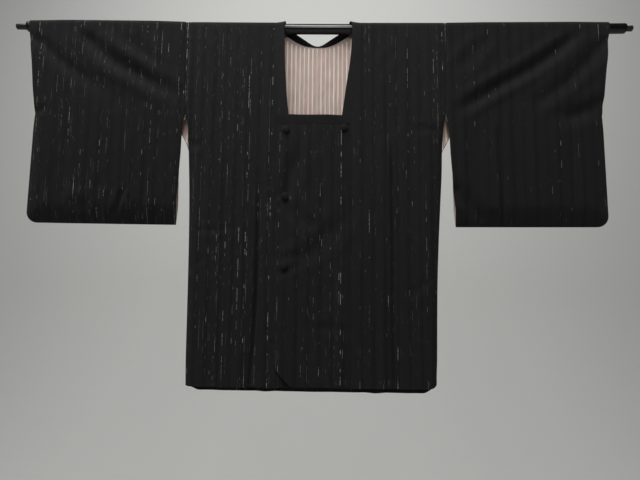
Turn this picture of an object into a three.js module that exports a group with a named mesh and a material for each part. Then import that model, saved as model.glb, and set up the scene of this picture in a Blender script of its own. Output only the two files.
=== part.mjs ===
// A michiyuki, the square-necked coat worn over a kimono, hung on a telescopic rod that runs
// through both sleeves. Its two long panels go from the front hem over the rod to the back hem.
// Millimetres. X runs along the rod to the wearer's left, Y from the coat's front to its back and
// Z up. The origin is on the rod's axis, above the middle of the coat.
// "right" and "left" in the names are the wearer's, so right is at negative X.

import * as THREE from 'three';
import { mergeVertices } from 'three/addons/utils/BufferGeometryUtils.js';

// ---- Driving sizes ----------------------------------------------------------------------------

const CLOTH = 1.6; // outer cloth with the layer sewn to its inside
const LINING = 1.0; // back lining
const GAP = 0.3; // between pieces at a seam, and between one layer and the next
const LAYER = CLOTH + GAP; // how far one layer of cloth moves the next one out

const ROD = { radius: 11.5, chamfer: 2.5, rightEnd: -664, leftEnd: 706, lengths: 8 };
const ROD_CAP = { radius: 12.2, length: 10, chamfer: 3 };
const ROD_PIN = { radius: 6.5, chamfer: 1, rightEnd: -700, leftEnd: 722 };
const ROD_SAG = { rise: 4, reach: 680 }; // how far the rod's ends stand above its middle
const ROD_CLEARANCE = 0.9;
const ROD_SIDES = 24;

// Outer skin of the coat, measured from the rod's axis.
const DEPTH = ROD.radius + ROD_CLEARANCE + CLOTH;

const HEM = { front: -806, cornerReach: 28, liftReach: 18 };
const HEM_CORNER_LIFT = { right: 2, left: 12 };
const BACK_HEM_DROP = { right: 10.5, left: 13 }; // at the side seams, below the front hem
const SIDE_SEAM_TOP = -293;
const ARMHOLE_END = -209; // the sleeve is sewn to the body down to here
const SIDE_REACH = 45; // width over which the sewn side edge rounds out to full depth

const SLEEVE = { bottom: -460, cornerRadius: 25, cuffEnd: -209, edgeReach: 60 };
const SLEEVE_BELLY = { reach: 45, power: 1.3 }; // how the sleeve swells above its bottom seam

const NECK_BOTTOM = -210;
const COLLAR_WIDTH = 20;
const COLLAR_HIDDEN = 1.5; // cloth under the collar stops this far behind the collar's free edge
const NECK_JOG = { low: -212, high: -204 }; // where a front's edge steps from neckline to seam
const COLLAR_GAP = 0.7;
const LOWER_COLLAR_END = 54; // the hidden level band ends this far from the middle line
const BACK_NECK = { drop: 41, halfWidth: 83.4, lean: 43, leanReach: 34 };
const BACK_NECK_STATIONS = [-76, -66, -56, -44, -30, -15, 0, 15, 30, 44, 56, 66, 76];
const OVER_ROD_FREE = { x: 73, angle: 112 }; // where the band's free edge leaves the rod

const OVERLAP = { top: -213, seam: 71 };
const OVERLAP_CORNER = { top: -752, width: 41, power: 1.75 }; // its rounded lower corner
const OVERLAP_FLARE = { lift: 2.5, from: -700, reach: 60 }; // the corner stands off the front
const OVERLAP_LIFT = { from: -35, to: -58 }; // where the top panel climbs onto the right front
const OVERLAP_DIP = { from: -71, to: -56, depth: 2 * LAYER + 0.8 }; // the lower one goes under

const LINING_GAP = 0.6;
const LINING_TOP = -6;
const LINING_HEM = -800;

const BUTTON = { radius: 8, height: 3.4, sides: 16 };

// ---- Tables -----------------------------------------------------------------------------------

const table = (columns, rows) =>
  rows.map((row) => Object.fromEntries(columns.map((name, k) => [name, row[k]])));

// Distance of the body's side edges from the middle line. Below the sleeve the back edge bows out
// as far as the sleeve's, and comes back to the front edge at the top of the side seam.
const BODY_EDGE = {
  right: table(['height', 'front', 'back'], [
    [0, 303, 303], [-209, 294, 302.5], [-217, 291, 306.2], [-228, 289.8, 308.5], [-245, 289, 309],
    [-262, 289.2, 300.5], [-277, 288.9, 292.5], [-293, 287.5, 287.5], [-361, 283.5, 283.5],
    [-450, 280, 280], [-600, 277.5, 277.5], [-750, 276, 276], [-820, 274, 274],
  ]),
  left: table(['height', 'front', 'back'], [
    [0, 293, 293], [-209, 289, 296], [-217, 286.5, 300], [-228, 285, 303], [-245, 283.5, 304.5],
    [-262, 282.7, 298], [-277, 282.3, 290], [-293, 282, 282], [-361, 280, 280],
    [-450, 273.5, 273.5], [-600, 266.8, 266.8], [-750, 264, 264], [-820, 262, 262],
  ]),
};

// Distance of the sleeves' inner edges from the middle line.
const SLEEVE_EDGE = {
  right: table(['height', 'front', 'back'], [
    [0, 303, 303], [-209, 294, 302.5], [-217, 297.5, 306.2], [-228, 299.5, 308.5],
    [-245, 300.2, 310], [-262, 300.6, 311], [-293, 301.2, 312], [-361, 304, 311],
    [-411, 306.5, 310], [-460, 309, 309],
  ]),
  left: table(['height', 'front', 'back'], [
    [0, 293, 293], [-209, 289, 296], [-217, 291.5, 300], [-228, 293.5, 303],
    [-245, 295, 305], [-262, 296, 306], [-293, 297.2, 307], [-361, 301.5, 308],
    [-411, 305, 309], [-460, 309, 309],
  ]),
};

// Distance of the cuff edges from the middle line, on both sides.
const CUFF_EDGE = table(['height', 'reach'], [
  [0, 664], [-60, 655], [-130, 648], [-180, 644.5], [-209, 642], [-245, 643.5], [-460, 644.5],
]);

// Distance of the collar's free edge from the middle line, beside the neck opening.
const NECK_EDGE = {
  right: table(['height', 'reach'], [[0, 75], [-58, 74], [-130, 70], [-176, 66], [-210, 62]]),
  left: table(['height', 'reach'], [[0, 80], [-33, 79], [-81, 75], [-130, 68], [-210, 57]]),
};

// Distance of an overlap panel's free edge from the middle line, on the far side of it.
const OVERLAP_EDGE = table(['height', 'reach'], [[-212, 90], [-273, 90], [-481, 86], [-622, 84],
  [-752, 84]]);

// Troughs pressed into the cloth, from one end to the other. They fade out over both ends.
const FOLDS = table(['face', 'x0', 'z0', 'x1', 'z1', 'halfWidth', 'depth'], [
  ['front', -129, -330, -135, -1000, 9, 7.5],
  ['front', 166, -330, 176, -1000, 9, 7.5],
  ['front', -570, -20, -290, -190, 24, 6],
  ['front', 600, -15, 290, -215, 24, 7],
  ['front', -660, -25, -430, -180, 22, 4.5],
  ['front', 670, -20, 460, -200, 24, 5],
  ['back', -100, -320, -104, -1000, 12, 6],
  ['back', 128, -360, 132, -1000, 12, 6],
  ['back', -600, -30, -310, -230, 26, 5],
  ['back', 600, -30, 310, -230, 26, 5],
]);
const FOLD_FADE = 0.25; // share of a fold's length over which each end fades
const FOLDS_START = -15; // no fold reaches above this height, where the cloth lies on the rod
const FOLDS_RISE = 60; // height over which the folds come in below that

// ---- Small helpers ----------------------------------------------------------------------------

const clamp = (value) => Math.min(1, Math.max(0, value));
const lerp = (from, to, share) => from + (to - from) * share;
const ease = (value) => clamp(value) ** 2 * (3 - 2 * clamp(value));
const radians = THREE.MathUtils.degToRad;

// 0 at a sewn edge, rounding out to 1 at the distance called reach.
const roundOut = (distance, reach) => Math.sqrt(1 - (1 - clamp(distance / reach)) ** 2);

// One column of a table, read between its rows, which go downwards.
function read(rows, column, height) {
  if (height >= rows[0].height) return rows[0][column];
  const next = rows.findIndex((row) => row.height <= height);
  if (next < 0) return rows[rows.length - 1][column];
  const above = rows[next - 1];
  const share = (above.height - height) / (above.height - rows[next].height);
  return lerp(above[column], rows[next][column], share);
}

// How far the folds push the cloth towards the coat's middle plane.
function foldDepth(face, x, height) {
  let depth = 0;
  for (const fold of FOLDS) {
    if (fold.face !== face) continue;
    const along = new THREE.Vector2(fold.x1 - fold.x0, fold.z1 - fold.z0);
    const offset = new THREE.Vector2(x - fold.x0, height - fold.z0);
    const share = clamp(offset.dot(along) / along.lengthSq());
    const distance = Math.abs(offset.cross(along)) / along.length();
    const fade = ease(share / FOLD_FADE) * ease((1 - share) / FOLD_FADE);
    depth += fold.depth * fade * Math.exp(-((distance / fold.halfWidth) ** 2));
  }
  return depth * ease((FOLDS_START - height) / FOLDS_RISE);
}

// ---- Cloth walls ------------------------------------------------------------------------------

// A closed solid between an outer and an inner skin, both given on a grid by point(layer, i, j)
// with layer 0 outside. isOpen(edge, k) says whether segment k of an edge of the grid is a free
// edge of the cloth; where it is not, the skins there meet those of the opposite face.
function wall(columns, rows, point, isOpen = () => true) {
  const positions = [];
  for (const layer of [0, 1]) {
    for (let j = 0; j < rows; j += 1) {
      for (let i = 0; i < columns; i += 1) positions.push(...point(layer, i, j));
    }
  }
  const at = (layer, i, j) => layer * columns * rows + j * columns + i;
  const faces = [];
  const quad = (a, b, c, d) => faces.push(a, b, c, a, c, d);
  for (let j = 0; j < rows - 1; j += 1) {
    for (let i = 0; i < columns - 1; i += 1) {
      quad(at(0, i, j), at(0, i + 1, j), at(0, i + 1, j + 1), at(0, i, j + 1));
      quad(at(1, i, j), at(1, i, j + 1), at(1, i + 1, j + 1), at(1, i + 1, j));
    }
  }
  const last = { i: columns - 1, j: rows - 1 };
  for (let j = 0; j < last.j; j += 1) {
    if (isOpen('side', j)) quad(at(0, 0, j), at(0, 0, j + 1), at(1, 0, j + 1), at(1, 0, j));
    if (isOpen('inner', j)) {
      quad(at(0, last.i, j + 1), at(0, last.i, j), at(1, last.i, j), at(1, last.i, j + 1));
    }
  }
  for (let i = 0; i < last.i; i += 1) {
    if (isOpen('first', i)) quad(at(0, i + 1, 0), at(0, i, 0), at(1, i, 0), at(1, i + 1, 0));
    if (isOpen('last', i)) {
      quad(at(0, i, last.j), at(0, i + 1, last.j), at(1, i + 1, last.j), at(1, i, last.j));
    }
  }
  return closedGeometry(positions, faces);
}

// Joins points that coincide, drops the triangles that lose their area and turns all faces out.
function closedGeometry(positions, faces) {
  const loose = new THREE.BufferGeometry();
  loose.setAttribute('position', new THREE.Float32BufferAttribute(positions, 3));
  loose.setIndex(faces);
  const merged = mergeVertices(loose, 1e-3);
  const index = Array.from(merged.index.array);
  const kept = [];
  for (let k = 0; k < index.length; k += 3) {
    const [a, b, c] = index.slice(k, k + 3);
    if (a !== b && b !== c && c !== a) kept.push([a, b, c]);
  }
  const corner = (n) => new THREE.Vector3().fromBufferAttribute(merged.attributes.position, n);
  const volume = kept.reduce(
    (sum, [a, b, c]) => sum + corner(a).dot(corner(b).cross(corner(c))) / 6, 0);
  merged.setIndex(kept.flatMap(([a, b, c]) => (volume > 0 ? [a, b, c] : [a, c, b])));
  return merged;
}

// Stations of a length of cloth that hangs in front, goes over the rod and hangs behind.
function stationsOverRod(frontHeights, backHeights) {
  const over = [22.5, 45, 67.5, 90, 112.5, 135, 157.5].map((angle) =>
    ({ face: 'over', height: 0, angle }));
  const front = frontHeights.map((height) => ({ face: 'front', height, angle: 0 }));
  const back = backHeights.map((height) => ({ face: 'back', height, angle: 180 }));
  return [...front, ...over, ...back];
}

// A point of the cloth at a station: depth is measured from the coat's middle plane.
function placed(station, x, depth, height) {
  const angle = radians(station.angle);
  if (station.face === 'over') return [x, -depth * Math.cos(angle), depth * Math.sin(angle)];
  return [x, station.face === 'front' ? -depth : depth, height];
}

// The inner skin lies one cloth inside the outer one, and thins where that is near the middle plane.
const THINNEST_INNER = 0.3;
const innerDepth = (outer) => Math.max(outer - CLOTH, THINNEST_INNER * outer);

const SIGN = { right: -1, left: 1 };

// ---- Body panels ------------------------------------------------------------------------------

// The side edge stands half a gap away from the sleeve sewn to it. Below the front hem it goes
// straight down, so both hems share a corner.
const bodyEdge = (side, face, height) =>
  read(BODY_EDGE[side], face === 'back' ? 'back' : 'front', Math.max(height, HEM.front)) - GAP / 2;

// 0 along the sewn side seam, rising to 1 at the armhole.
const sideOpenness = (height) => ease((height - SIDE_SEAM_TOP) / (ARMHOLE_END - SIDE_SEAM_TOP));

// Outer skin's depth: full at the armhole and the underarm opening, and 0 along the side seam.
function bodyDepth(side, face, x, height) {
  const fromEdge = bodyEdge(side, face, height) - Math.abs(x);
  const share = lerp(roundOut(fromEdge, SIDE_REACH), 1, sideOpenness(height));
  const depth = DEPTH * share;
  return depth - foldDepth(face, x, height) * share;
}

// Where the panel ends towards the middle: front seam, neckline, back neckline, back seam.
function bodyInnerEdge(side, station) {
  const neck = (height) => read(NECK_EDGE[side], 'reach', height) + COLLAR_HIDDEN;
  if (station.face === 'front') {
    return station.height <= NECK_JOG.low ? OVERLAP.seam + GAP / 2 : neck(station.height);
  }
  if (station.face === 'over') return lerp(neck(0), BACK_NECK.halfWidth, station.angle / 180);
  const rise = clamp((station.height + BACK_NECK.drop) / BACK_NECK.drop);
  return Math.max(GAP / 2, BACK_NECK.halfWidth * Math.sqrt(rise));
}

// How far the hem is from the front hem's height: it lifts a little at the side seam, and the back
// hem hangs lower than the front one.
function hemOffset(side, face, x, distance) {
  const lift = HEM_CORNER_LIFT[side] * (1 - roundOut(distance, HEM.liftReach));
  if (face === 'front') return lift;
  const acrossBack = 0.5 + (0.5 * x) / BODY_EDGE.right[0].front;
  const drop = lerp(BACK_HEM_DROP.right, BACK_HEM_DROP.left, acrossBack);
  return lift - drop * ease(distance / HEM.cornerReach);
}

// Shares of the panel's width, from the side edge in, close together at the edge and at the long
// fold that hangs there.
const EDGE_COLUMNS = [0, 0.025, 0.08, 0.2];
const FOLD_COLUMN = { right: 0.685, left: 0.49 };
const BESIDE_FOLD = [-0.09, -0.035, 0, 0.035, 0.09];

function panelColumns(side) {
  const folded = BESIDE_FOLD.map((step) => FOLD_COLUMN[side] + step);
  const between = (folded[folded.length - 1] + 1) / 2;
  return [...EDGE_COLUMNS, ...folded, between, 1];
}

const FRONT_HEIGHTS = [HEM.front, -750, -660, -580, -494, -410, -340, -293, -262, -245, -228,
  NECK_JOG.low, NECK_JOG.high, -140, -60, 0];
const BACK_HEIGHTS = [0, -10, -21, -32, -41, -100, -209, -217, -228, -245, -262, -277, -293, -340,
  -410, -494, -580, -660, -750, HEM.front];

// One corner of the panel's grid, on the outer or the inner skin.
function bodyPoint(side, share, station, layer) {
  const { face, height } = station;
  const edge = bodyEdge(side, face, height);
  const distance = (edge - bodyInnerEdge(side, station)) * share;
  const open = sideOpenness(height);
  const inset = layer === 1 && share === 0 ? CLOTH * (1 - open) : 0;
  const outerX = SIGN[side] * (edge - distance);
  const outer = bodyDepth(side, face, outerX, height);
  const depth = layer === 0 ? outer : innerDepth(outer);
  const reached = height === HEM.front ? height + hemOffset(side, face, outerX, distance) : height;
  return placed(
    station, outerX - SIGN[side] * inset, inset > 0 && open === 0 ? 0 : depth, reached);
}

function bodyPanel(side) {
  const columns = panelColumns(side);
  const stations = stationsOverRod(FRONT_HEIGHTS, BACK_HEIGHTS);
  const point = (layer, i, j) => bodyPoint(side, columns[i], stations[j], layer);
  const sewn = (j) => Math.max(stations[j].height, stations[j + 1].height) <= SIDE_SEAM_TOP;
  return wall(columns.length, stations.length, point, (edge, k) => edge !== 'side' || !sewn(k));
}

// ---- Sleeves ----------------------------------------------------------------------------------

const SLEEVE_SHARES = [0, 0.014, 0.05, 0.11, 0.22, 0.36, 0.52, 0.68, 0.84, 1];
const SLEEVE_HEIGHTS = [SLEEVE.bottom, -448, -434, -417, -385, -340, -293, -262, -245, -228, -217,
  -209, -150, -90, -40, 0];

// The outer edge, with the rounded corner at the bottom.
function cuffEdge(height) {
  const edge = read(CUFF_EDGE, 'reach', height);
  const radius = SLEEVE.cornerRadius;
  const below = clamp((SLEEVE.bottom + radius - height) / radius) * radius;
  return edge - radius + Math.sqrt(radius ** 2 - below ** 2);
}

// Outer skin's depth: full on the rod, sewn shut along the bottom and below the cuff opening.
function sleeveDepth(face, x, height) {
  const fromFull = 1 - clamp((height - SLEEVE.bottom) / SLEEVE_BELLY.reach);
  const belly = 1 - fromFull ** SLEEVE_BELLY.power;
  const cuff = roundOut(height - SLEEVE.cuffEnd, -SLEEVE.cuffEnd);
  const atEdge = roundOut(cuffEdge(height) - Math.abs(x), SLEEVE.edgeReach);
  const share = Math.min(belly, lerp(atEdge, 1, cuff));
  return DEPTH * share - foldDepth(face, x, height) * share;
}

function sleevePoint(side, share, station, layer) {
  const { face, height } = station;
  const outerEdge = cuffEdge(height);
  const innerEdge = read(SLEEVE_EDGE[side], face === 'back' ? 'back' : 'front', height) + GAP / 2;
  const x = lerp(outerEdge, innerEdge, share);
  const cuffOpen = roundOut(height - SLEEVE.cuffEnd, -SLEEVE.cuffEnd);
  const inset = layer === 1 && share === 0 ? CLOTH * (1 - cuffOpen) : 0;
  const sewn = height === SLEEVE.bottom || (share === 0 && cuffOpen === 0);
  const outer = sewn ? 0 : sleeveDepth(face, SIGN[side] * x, height);
  const raise = layer === 1 && height === SLEEVE.bottom ? CLOTH : 0;
  const depth = layer === 0 ? outer : innerDepth(outer);
  return placed(station, SIGN[side] * (x - inset), depth, height + raise);
}

function sleeve(side) {
  const stations = stationsOverRod(SLEEVE_HEIGHTS, [...SLEEVE_HEIGHTS].reverse());
  const point = (layer, i, j) => sleevePoint(side, SLEEVE_SHARES[i], stations[j], layer);
  const sewn = (j) => Math.max(stations[j].height, stations[j + 1].height) <= SLEEVE.cuffEnd;
  const isOpen = (edge, k) => edge === 'inner' || (edge === 'side' && !sewn(k));
  return wall(SLEEVE_SHARES.length, stations.length, point, isOpen);
}

// ---- Back lining ------------------------------------------------------------------------------

const LINING_HEIGHTS = [LINING_TOP, ...BACK_HEIGHTS.slice(1, -1), LINING_HEM];

// Half of the back lining, on the inside of the body panel's back.
function backLining(side) {
  const columns = panelColumns(side).slice(1);
  const stations = LINING_HEIGHTS.map((height) => ({ face: 'back', height, angle: 180 }));
  const point = (layer, i, j) => {
    const [x, y, z] = bodyPoint(side, columns[i], stations[j], 1);
    return [x, y - LINING_GAP - layer * LINING, z];
  };
  return wall(columns.length, stations.length, point);
}

// ---- Overlap panels ---------------------------------------------------------------------------

// Columns of the grid, as distances from the middle line towards the panel's free edge.
const OVERLAP_COLUMNS = {
  left: [90, 80, 69, 58, 46, 35, 0, -36, -71],
  right: [90, 60, 20, -20, -46, -56, -63.5, -71],
};
const OVERLAP_HEIGHTS = [OVERLAP.top, -273, -340, -410, -481, -550, -622, -700, OVERLAP_CORNER.top,
  -769, -782, -795, HEM.front];

// Outer skin's depth of the top panel, x measured as on the coat.
const topDepth = (x) =>
  DEPTH + LAYER * ease((OVERLAP_LIFT.from - x) / (OVERLAP_LIFT.from - OVERLAP_LIFT.to));

// Outer skin's depth of the lower panel, which goes under the top one.
const lowerDepth = (x) =>
  DEPTH - OVERLAP_DIP.depth * ease((x - OVERLAP_DIP.from) / (OVERLAP_DIP.to - OVERLAP_DIP.from));

// The free edge, with its rounded lower corner.
function overlapEdge(height) {
  const below = clamp((OVERLAP_CORNER.top - height) / (OVERLAP_CORNER.top - HEM.front));
  return read(OVERLAP_EDGE, 'reach', height) - OVERLAP_CORNER.width * below ** OVERLAP_CORNER.power;
}

// How far the top panel's lower corner stands off the right front.
function cornerFlare(x, height) {
  const low = ease((OVERLAP_FLARE.from - height) / (OVERLAP_FLARE.from - HEM.front));
  return OVERLAP_FLARE.lift * low * ease(-x / OVERLAP_FLARE.reach);
}

// The top panel grows from the left front and the lower one from the right front.
function overlapPanel(side) {
  const columns = OVERLAP_COLUMNS[side];
  const depthAt = side === 'left' ? topDepth : lowerDepth;
  const point = (layer, i, j) => {
    const height = OVERLAP_HEIGHTS[j];
    const reach = Math.min(columns[i], overlapEdge(height));
    const x = -SIGN[side] * Math.max(reach, GAP / 2 - OVERLAP.seam);
    const flare = side === 'left' ? cornerFlare(x, height) : 0;
    return [x, -(depthAt(x) + flare - layer * CLOTH), height];
  };
  return wall(columns.length, OVERLAP_HEIGHTS.length, point);
}

// ---- Collar -----------------------------------------------------------------------------------

const COLLAR_DEPTH = DEPTH + COLLAR_GAP; // inside of a collar band that lies on the body panels
const COLLAR_COLUMNS = [0, 0.33, 0.67, 1]; // shares of its width, from the attached edge
const COLLAR_HEIGHTS = [-176, -130, -81, -33, 0]; // of its stations beside the neck opening
const OVER_ROD_STEPS = 10;
const FORWARD = new THREE.Vector3(0, -1, 0);

// A strip of the collar. Each station is a row of inner-skin points with the way each faces.
function strip(stations) {
  const point = (layer, i, j) => {
    const { at, out } = stations[j][i];
    return at.clone().addScaledVector(out, (1 - layer) * CLOTH).toArray();
  };
  return wall(COLLAR_COLUMNS.length, stations.length, point);
}

// A straight station between the two edges of the band.
const across = (attached, free, out) =>
  COLLAR_COLUMNS.map((share) => ({ at: attached.clone().lerp(free, share), out }));

// Stretch beside the neck opening, from its lower end, square or mitred, up to the rod.
function collarFront(side, lowEnds) {
  const edgeAt = (height, out) => {
    const distance = read(NECK_EDGE[side], 'reach', height) + out;
    return new THREE.Vector3(SIGN[side] * distance, -COLLAR_DEPTH, height);
  };
  const level = (height) => across(edgeAt(height, COLLAR_WIDTH), edgeAt(height, 0), FORWARD);
  const bottom = across(edgeAt(lowEnds.attached, COLLAR_WIDTH), edgeAt(lowEnds.free, 0), FORWARD);
  return [bottom, ...COLLAR_HEIGHTS.map(level)];
}

// A point on the cylinder of cloth over the rod, with the way it faces.
function onRod(x, angle) {
  const out = new THREE.Vector3(0, -Math.cos(radians(angle)), Math.sin(radians(angle)));
  return { at: new THREE.Vector3(x, 0, 0).addScaledVector(out, COLLAR_DEPTH), out };
}

// Stretch over the rod. The free edge lags behind there, which turns the band to the back neck.
function collarOverRod(side) {
  const freeStart = read(NECK_EDGE[side], 'reach', 0);
  return Array.from({ length: OVER_ROD_STEPS }, (_, step) => {
    const share = (step + 1) / OVER_ROD_STEPS;
    const attachedX = lerp(freeStart + COLLAR_WIDTH, BACK_NECK.halfWidth, ease(share));
    const freeX = lerp(freeStart, OVER_ROD_FREE.x, share);
    return COLLAR_COLUMNS.map((column) => onRod(
      SIGN[side] * lerp(attachedX, freeX, column),
      share * lerp(180, OVER_ROD_FREE.angle, column),
    ));
  });
}

// Stretch along the back neckline, a shallow curve on which the band leans back in the middle.
function collarBack(x) {
  const distance = Math.abs(x);
  const sag = BACK_NECK.drop * ((distance / BACK_NECK.halfWidth) ** 2 - 1);
  const slope = Math.atan((2 * BACK_NECK.drop * x) / BACK_NECK.halfWidth ** 2);
  const lean = radians(BACK_NECK.lean) * Math.exp(-((distance / BACK_NECK.leanReach) ** 2));
  const upward = new THREE.Vector3(
    -Math.sin(slope) * Math.cos(lean), Math.sin(lean), Math.cos(slope) * Math.cos(lean));
  const seam = new THREE.Vector3(x, COLLAR_DEPTH, sag);
  const attached = new THREE.Vector3(x, COLLAR_DEPTH, sag - COLLAR_HIDDEN);
  const free = seam.clone().addScaledVector(upward, COLLAR_WIDTH - COLLAR_HIDDEN);
  return across(attached, free, new THREE.Vector3(0, Math.cos(lean), -Math.sin(lean)));
}

// The whole neck band: up beside the opening, over the rod, along the back neck and down again.
function collarBand() {
  const square = { attached: NECK_BOTTOM + GAP, free: NECK_BOTTOM + GAP };
  const mitre = { attached: NECK_BOTTOM - COLLAR_WIDTH + GAP, free: NECK_BOTTOM + GAP };
  const right = [...collarFront('right', square), ...collarOverRod('right')];
  const left = [...collarFront('left', mitre), ...collarOverRod('left')];
  const back = BACK_NECK_STATIONS.map(collarBack);
  return strip([...right, ...back, ...left.reverse()]);
}

// The level band across the top of an overlap panel. The top one meets the neck band in a mitre,
// and the lower one stops short of the seam with the right front.
function collarAcross(side) {
  const depthAt = side === 'left' ? topDepth : lowerDepth;
  const neck = read(NECK_EDGE.left, 'reach', NECK_BOTTOM);
  const end = { left: { free: -neck, attached: -neck - COLLAR_WIDTH },
    right: { free: -LOWER_COLLAR_END, attached: -LOWER_COLLAR_END } }[side];
  const edgePoint = (reach, height) => {
    const x = -SIGN[side] * reach;
    return new THREE.Vector3(x, -(depthAt(x) + COLLAR_GAP), height);
  };
  const station = (reach) => across(
    edgePoint(reach.attached, NECK_BOTTOM - COLLAR_WIDTH), edgePoint(reach.free, NECK_BOTTOM),
    FORWARD);
  const straight = OVERLAP_COLUMNS[side].filter((reach) => reach > end.free)
    .map((reach) => station({ free: reach, attached: reach }));
  return strip([...straight, station(end)]);
}

// ---- Rod and buttons --------------------------------------------------------------------------

// A solid of revolution about Y. The profile's rows are radius and distance along the axis.
function lathed(profile, sides) {
  const points = profile.map(([radius, along]) => new THREE.Vector2(radius, along));
  return new THREE.LatheGeometry(points, sides);
}

const closedLathe = (lathe) =>
  closedGeometry(Array.from(lathe.attributes.position.array), Array.from(lathe.index.array));

// A turned solid along X from its lower to its higher end, with chamfered rims. It is divided into
// so many lengths, which lets it follow the rod's sag.
function turned(radius, from, to, chamfer, lengths = 1) {
  const rings = Array.from({ length: lengths + 1 }, (_, k) =>
    [radius, lerp(from + chamfer, to - chamfer, k / lengths)]);
  const profile = [[0, from], [radius - chamfer, from], ...rings, [radius - chamfer, to], [0, to]];
  return closedLathe(lathed(profile, ROD_SIDES).rotateZ(-Math.PI / 2));
}

// A low domed button with its back at the origin, facing the front.
function button() {
  const shares = [[0, 0], [1, 0], [1, 0.25], [0.85, 0.65], [0.5, 0.92], [0, 1]];
  const profile = shares.map(([out, up]) => [out * BUTTON.radius, up * BUTTON.height]);
  return closedLathe(lathed(profile, BUTTON.sides).rotateX(Math.PI));
}

const BUTTONS = table(['name', 'x', 'height'], [
  ['button_neck_right', -67, -244.5],
  ['button_neck_left', 62, -238.6],
  ['button_middle', -67, -395.5],
  ['button_lower', -66.5, -548.5],
]);

// ---- Assembly ---------------------------------------------------------------------------------

const MATERIALS = {
  cloth: { color: 0x1b1a1c, roughness: 0.92, metalness: 0 },
  lining: { color: 0xd9bfb6, roughness: 0.6, metalness: 0 },
  button: { color: 0x151416, roughness: 0.7, metalness: 0 },
  rod: { color: 0x1d1f21, roughness: 0.3, metalness: 0.6 },
};

const group = new THREE.Group();

// Adds a piece. The rod sags in the middle, so each point goes up as it nears the rod's ends.
function add(name, geometry, material, x = 0, y = 0, z = 0) {
  const points = geometry.attributes.position;
  for (let k = 0; k < points.count; k += 1) {
    const rise = ROD_SAG.rise * ((x + points.getX(k)) / ROD_SAG.reach) ** 2;
    points.setZ(k, points.getZ(k) + rise);
  }
  geometry.computeVertexNormals();
  const mesh = new THREE.Mesh(geometry, new THREE.MeshStandardMaterial(MATERIALS[material]));
  mesh.name = name;
  mesh.position.set(x, y, z);
  group.add(mesh);
}

for (const side of ['right', 'left']) {
  add(`body_${side}`, bodyPanel(side), 'cloth');
  add(`overlap_${side}`, overlapPanel(side), 'cloth');
  add(`sleeve_${side}`, sleeve(side), 'cloth');
  add(`lining_back_${side}`, backLining(side), 'lining');
  add(`collar_front_${side}`, collarAcross(side), 'cloth');
}
add('collar_band', collarBand(), 'cloth');

for (const { name, x, height } of BUTTONS) {
  const onto = Math.max(topDepth(x - BUTTON.radius), topDepth(x + BUTTON.radius));
  add(name, button(), 'button', x, -(onto + GAP), height);
}

// The rod's pieces in a row, from the right end pin to the left one.
const capEnd = ROD.rightEnd - GAP;
const capStart = capEnd - ROD_CAP.length;
const { rightEnd, leftEnd, chamfer } = ROD_PIN;
add('rod_pin_right', turned(ROD_PIN.radius, rightEnd, capStart - GAP, chamfer), 'rod');
add('rod_cap_right', turned(ROD_CAP.radius, capStart, capEnd, ROD_CAP.chamfer), 'rod');
add('rod_tube', turned(ROD.radius, ROD.rightEnd, ROD.leftEnd, ROD.chamfer, ROD.lengths), 'rod');
add('rod_pin_left', turned(ROD_PIN.radius, ROD.leftEnd + GAP, leftEnd, chamfer), 'rod');

export default group;
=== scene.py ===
"""A michiyuki, the square-necked coat worn over a kimono, hung on a telescopic rod.

Metres. X runs along the rod to the wearer's left, Y from the coat's front to its back, Z up.
"right" and "left" are the wearer's. Each panel of cloth is a thin closed shell around the solid
that the frame holds for it: its edges are read from that solid, and its folds are added here.
"""

import math
import random

import bmesh
import bpy
import numpy as np
from mathutils import Matrix, Vector


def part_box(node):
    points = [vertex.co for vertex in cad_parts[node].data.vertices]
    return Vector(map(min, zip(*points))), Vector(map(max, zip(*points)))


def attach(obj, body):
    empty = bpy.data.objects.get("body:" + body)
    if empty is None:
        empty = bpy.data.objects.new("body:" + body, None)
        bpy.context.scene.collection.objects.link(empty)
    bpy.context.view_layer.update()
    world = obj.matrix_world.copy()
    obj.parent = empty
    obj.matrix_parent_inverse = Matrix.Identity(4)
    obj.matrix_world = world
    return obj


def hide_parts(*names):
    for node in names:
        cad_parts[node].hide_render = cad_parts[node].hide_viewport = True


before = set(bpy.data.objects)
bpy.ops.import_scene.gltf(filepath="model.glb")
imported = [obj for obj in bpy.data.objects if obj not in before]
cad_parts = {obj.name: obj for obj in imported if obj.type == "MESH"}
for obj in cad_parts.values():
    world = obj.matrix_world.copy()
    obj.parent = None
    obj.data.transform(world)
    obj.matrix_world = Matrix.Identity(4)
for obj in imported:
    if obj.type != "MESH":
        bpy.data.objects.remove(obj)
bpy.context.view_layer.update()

# ---- Sizes ----

MM = 0.001
TINY = 1e-5

CLOTH = 1.6 * MM  # outer cloth with the layer sewn to its inside
LEAST_INNER = 0.3  # the inner skin's depth, as a share of the outer one's, is never below this
LINING = 1.0 * MM
LINING_GAP = 0.6 * MM
LAYER = CLOTH + 0.3 * MM  # how far one layer of cloth moves the next one out
SEAM_GAP = 0.04 * MM  # between two pieces at a seam

FRONT, BACK = -1, 1
SIGN = {"right": -1, "left": 1}

ROD_SAG = {"rise": 4 * MM, "reach": 680 * MM}  # how far the rod's ends stand above its middle


def sag_rise(x):
    """The rod sags under the coat, and everything on it goes up towards the rod's ends."""
    return ROD_SAG["rise"] * (x / ROD_SAG["reach"]) ** 2


def level_points(node):
    """A solid's points as they are before the rod sags."""
    points = np.array([v.co[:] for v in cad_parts[node].data.vertices])
    points[:, 2] -= sag_rise(points[:, 0])
    return points


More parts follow.
